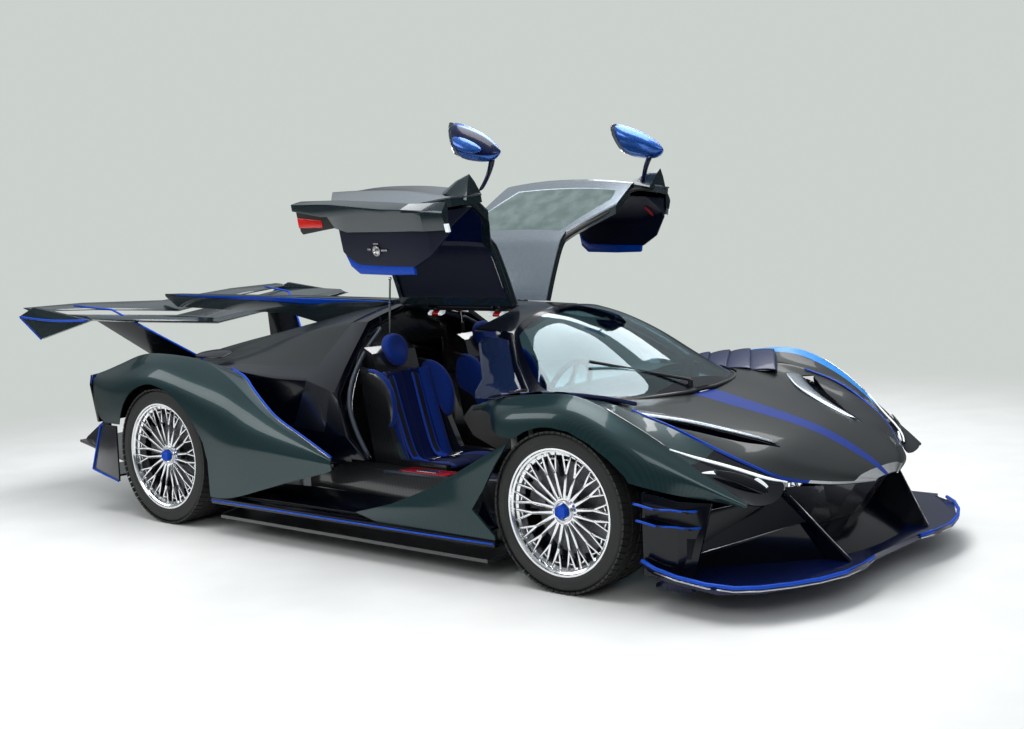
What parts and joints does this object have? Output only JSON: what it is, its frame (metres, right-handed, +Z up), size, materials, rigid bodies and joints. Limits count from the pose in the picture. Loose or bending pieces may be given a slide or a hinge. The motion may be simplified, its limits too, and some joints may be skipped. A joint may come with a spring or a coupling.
{
  "type": "two-seat hypercar",
  "caption": "Low two-seat hypercar with roof-hinged doors raised, winged fenders, a dorsal fin, a tall rear wing and a wide splitter.",
  "frame": {"origin": "on the ground, at the middle of the car's overall length and width", "axes": "+X forward, +Y to the car's left, +Z up"},
  "size_m": [5.066, 2.0316, 1.9967],
  "materials": {
    "body_paint": "gloss, colour-shift teal over woven fibre",
    "blue_paint": "gloss royal blue",
    "gloss_black": "gloss",
    "carbon": "clear-coated woven fibre",
    "satin_black": "satin",
    "tinted_glass": "tinted",
    "polished_alloy": "polished",
    "dark_steel": "machined",
    "bright_steel": "brushed",
    "tyre": "matt",
    "lamp_lens": "clear",
    "red_lens": "gloss",
    "seat_fabric": "soft"
  },
  "bodies": {
    "body": {"bonnet": "body_paint", "front_fenders": "body_paint", "headlamps": "lamp_lens", "tub": "carbon", "underfloor": "satin_black", "roof_frame": "gloss_black", "glazing": "tinted_glass", "engine_cover": "body_paint", "rear_quarters": "body_paint", "intake_floors": "carbon", "front_grille": "carbon", "front_splitter": "carbon", "front_bumper": "gloss_black", "side_skirts": "gloss_black", "side_blades": "body_paint", "rear_panel": "gloss_black", "tail_lamps": "red_lens", "exhaust_pipes": "bright_steel", "diffuser": "carbon", "engine": "dark_steel", "dorsal_fin": "body_paint", "rear_wing": "body_paint", "wing_supports": "carbon", "front_suspension": "dark_steel", "rear_suspension": "dark_steel", "seat_shells": "carbon", "seat_pads": "seat_fabric", "dashboard": "satin_black", "steering_wheel": "satin_black", "wiper": "satin_black"},
    "front_wheel_left": {"front_rim_left": "polished_alloy", "front_tyre_left": "tyre", "front_disc_left": "dark_steel"},
    "rear_wheel_left": {"rear_rim_left": "polished_alloy", "rear_tyre_left": "tyre", "rear_disc_left": "dark_steel"},
    "knuckle_left": {"front_knuckle_left": "dark_steel"},
    "door_left": {"door_shell_left": "body_paint", "door_glass_left": "tinted_glass", "door_mirror_left": "blue_paint"},
    "strut_barrel_left": {"strut_barrel_left": "satin_black"},
    "strut_rod_left": {"strut_rod_left": "bright_steel"},
    "front_wheel_right": {"front_rim_right": "polished_alloy", "front_tyre_right": "tyre", "front_disc_right": "dark_steel"},
    "rear_wheel_right": {"rear_rim_right": "polished_alloy", "rear_tyre_right": "tyre", "rear_disc_right": "dark_steel"},
    "knuckle_right": {"front_knuckle_right": "dark_steel"},
    "door_right": {"door_shell_right": "body_paint", "door_glass_right": "tinted_glass", "door_mirror_right": "blue_paint"},
    "strut_barrel_right": {"strut_barrel_right": "satin_black"},
    "strut_rod_right": {"strut_rod_right": "bright_steel"}
  },
  "joints": [
    {"name": "steer_left", "type": "hinge", "parent": "body", "child": "knuckle_left", "pos_m": [1.463, 0.765, 0.34325], "axis": [0, 0, 1], "range_deg": [-30, 30]},
    {"name": "front_spin_left", "type": "hinge", "parent": "knuckle_left", "child": "front_wheel_left", "pos_m": [1.463, 0.815, 0.34325], "axis": [0, 1, 0], "continuous": true},
    {"name": "rear_spin_left", "type": "hinge", "parent": "body", "child": "rear_wheel_left", "pos_m": [-1.237, 0.7925, 0.3642], "axis": [0, 1, 0], "continuous": true},
    {"name": "door_swing_left", "type": "hinge", "parent": "body", "child": "door_left", "pos_m": [0.221, 0.105, 1.12], "axis": [-1, 0, 0], "range_deg": [0, 80]},
    {"name": "strut_pivot_left", "type": "hinge", "parent": "body", "child": "strut_barrel_left", "pos_m": [-0.152, 0.3, 0.7], "axis": [1, 0, 0], "range_deg": [0, 1.05]},
    {"name": "strut_slide_left", "type": "slide", "parent": "strut_barrel_left", "child": "strut_rod_left", "axis": [0, 0.0911, -0.9958], "range_m": [0, 0.2572]},
    {"name": "steer_right", "type": "hinge", "parent": "body", "child": "knuckle_right", "pos_m": [1.463, -0.765, 0.34325], "axis": [0, 0, 1], "range_deg": [-30, 30]},
    {"name": "front_spin_right", "type": "hinge", "parent": "knuckle_right", "child": "front_wheel_right", "pos_m": [1.463, -0.815, 0.34325], "axis": [0, 1, 0], "continuous": true},
    {"name": "rear_spin_right", "type": "hinge", "parent": "body", "child": "rear_wheel_right", "pos_m": [-1.237, -0.7925, 0.3642], "axis": [0, 1, 0], "continuous": true},
    {"name": "door_swing_right", "type": "hinge", "parent": "body", "child": "door_right", "pos_m": [0.221, -0.105, 1.12], "axis": [1, 0, 0], "range_deg": [0, 80]},
    {"name": "strut_pivot_right", "type": "hinge", "parent": "body", "child": "strut_barrel_right", "pos_m": [-0.152, -0.3, 0.7], "axis": [-1, 0, 0], "range_deg": [0, 1.05]},
    {"name": "strut_slide_right", "type": "slide", "parent": "strut_barrel_right", "child": "strut_rod_right", "axis": [0, -0.0911, -0.9958], "range_m": [0, 0.2572]}
  ],
  "couplings": [
    {"joint": "strut_pivot_left", "follows": "door_swing_left", "ratio": 0.012963},
    {"joint": "strut_slide_left", "follows": "door_swing_left", "m_per_rad": 0.18407},
    {"joint": "strut_pivot_right", "follows": "door_swing_right", "ratio": 0.012963},
    {"joint": "strut_slide_right", "follows": "door_swing_right", "m_per_rad": 0.18407},
    {"joint": "steer_right", "follows": "steer_left", "ratio": 1}
  ]
}
